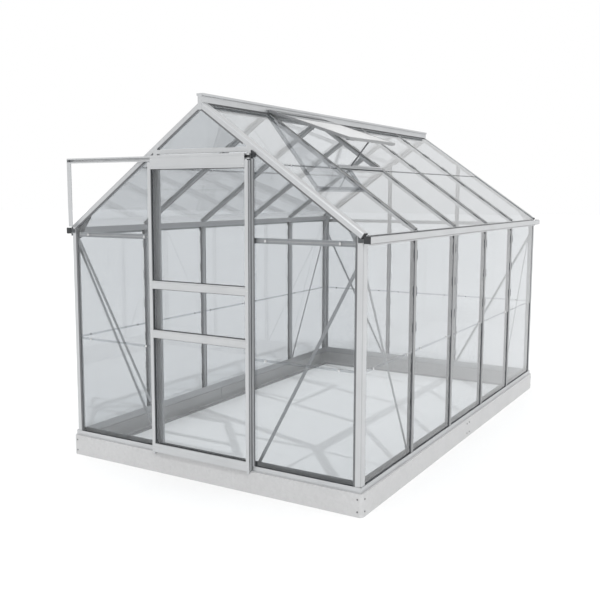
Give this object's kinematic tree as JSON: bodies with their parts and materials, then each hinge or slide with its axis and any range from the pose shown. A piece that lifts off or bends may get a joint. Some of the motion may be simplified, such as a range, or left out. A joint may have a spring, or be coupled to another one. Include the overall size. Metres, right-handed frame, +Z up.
{
  "type": "glass greenhouse",
  "caption": "Aluminium-framed glass greenhouse on a steel base, with a pitched roof, a sliding door in one gable and a propped roof vent.",
  "frame": {"origin": "on the ground under the middle of the overall box, which includes the door and its track", "axes": "+Z up; -Y is the gable with the sliding door, +Y the plain gable; +X is the slope with the roof vent, on the right hand of someone facing the door"},
  "size_m": [2.004, 3.223, 2.1155],
  "materials": {
    "aluminium": "satin mill",
    "galvanised_steel": "galvanised",
    "glass": "clear, faint green tint",
    "black_plastic": "moulded"
  },
  "bodies": {
    "greenhouse": {"base_front": "galvanised_steel", "base_back": "galvanised_steel", "base_left": "galvanised_steel", "base_right": "galvanised_steel", "base_corners": "galvanised_steel", "base_splices": "galvanised_steel", "sill_front": "aluminium", "sill_back": "aluminium", "sill_left": "aluminium", "sill_right": "aluminium", "corner_posts": "aluminium", "side_posts_left": "aluminium", "side_posts_right": "aluminium", "door_posts": "aluminium", "back_posts": "aluminium", "gutter_left": "aluminium", "gutter_right": "aluminium", "gutter_end_caps": "black_plastic", "ridge_beam": "aluminium", "gable_rafters_front": "aluminium", "gable_rafters_back": "aluminium", "rafters_left": "aluminium", "rafters_right": "aluminium", "crossbars_front": "aluminium", "crossbars_back": "aluminium", "door_head": "aluminium", "braces_front": "aluminium", "braces_back": "aluminium", "braces_left": "aluminium", "braces_right": "aluminium", "gussets": "aluminium", "glass_front": "glass", "glass_back": "glass", "glass_left": "glass", "glass_right": "glass", "glass_roof_left": "glass", "glass_roof_right": "glass", "vent_sill": "aluminium", "vent_sash": "aluminium", "vent_pane": "glass", "vent_stay": "aluminium", "door_track": "aluminium", "track_stay": "aluminium"},
    "door": {"door_stiles": "aluminium", "door_top_rail": "aluminium", "door_mid_rails": "aluminium", "door_bottom_rail": "aluminium", "door_panes": "glass", "door_rollers": "black_plastic"}
  },
  "joints": [
    {"name": "door_slide", "type": "slide", "parent": "greenhouse", "child": "door", "axis": [-1, 0, 0], "range_m": [0, 0.58]}
  ]
}
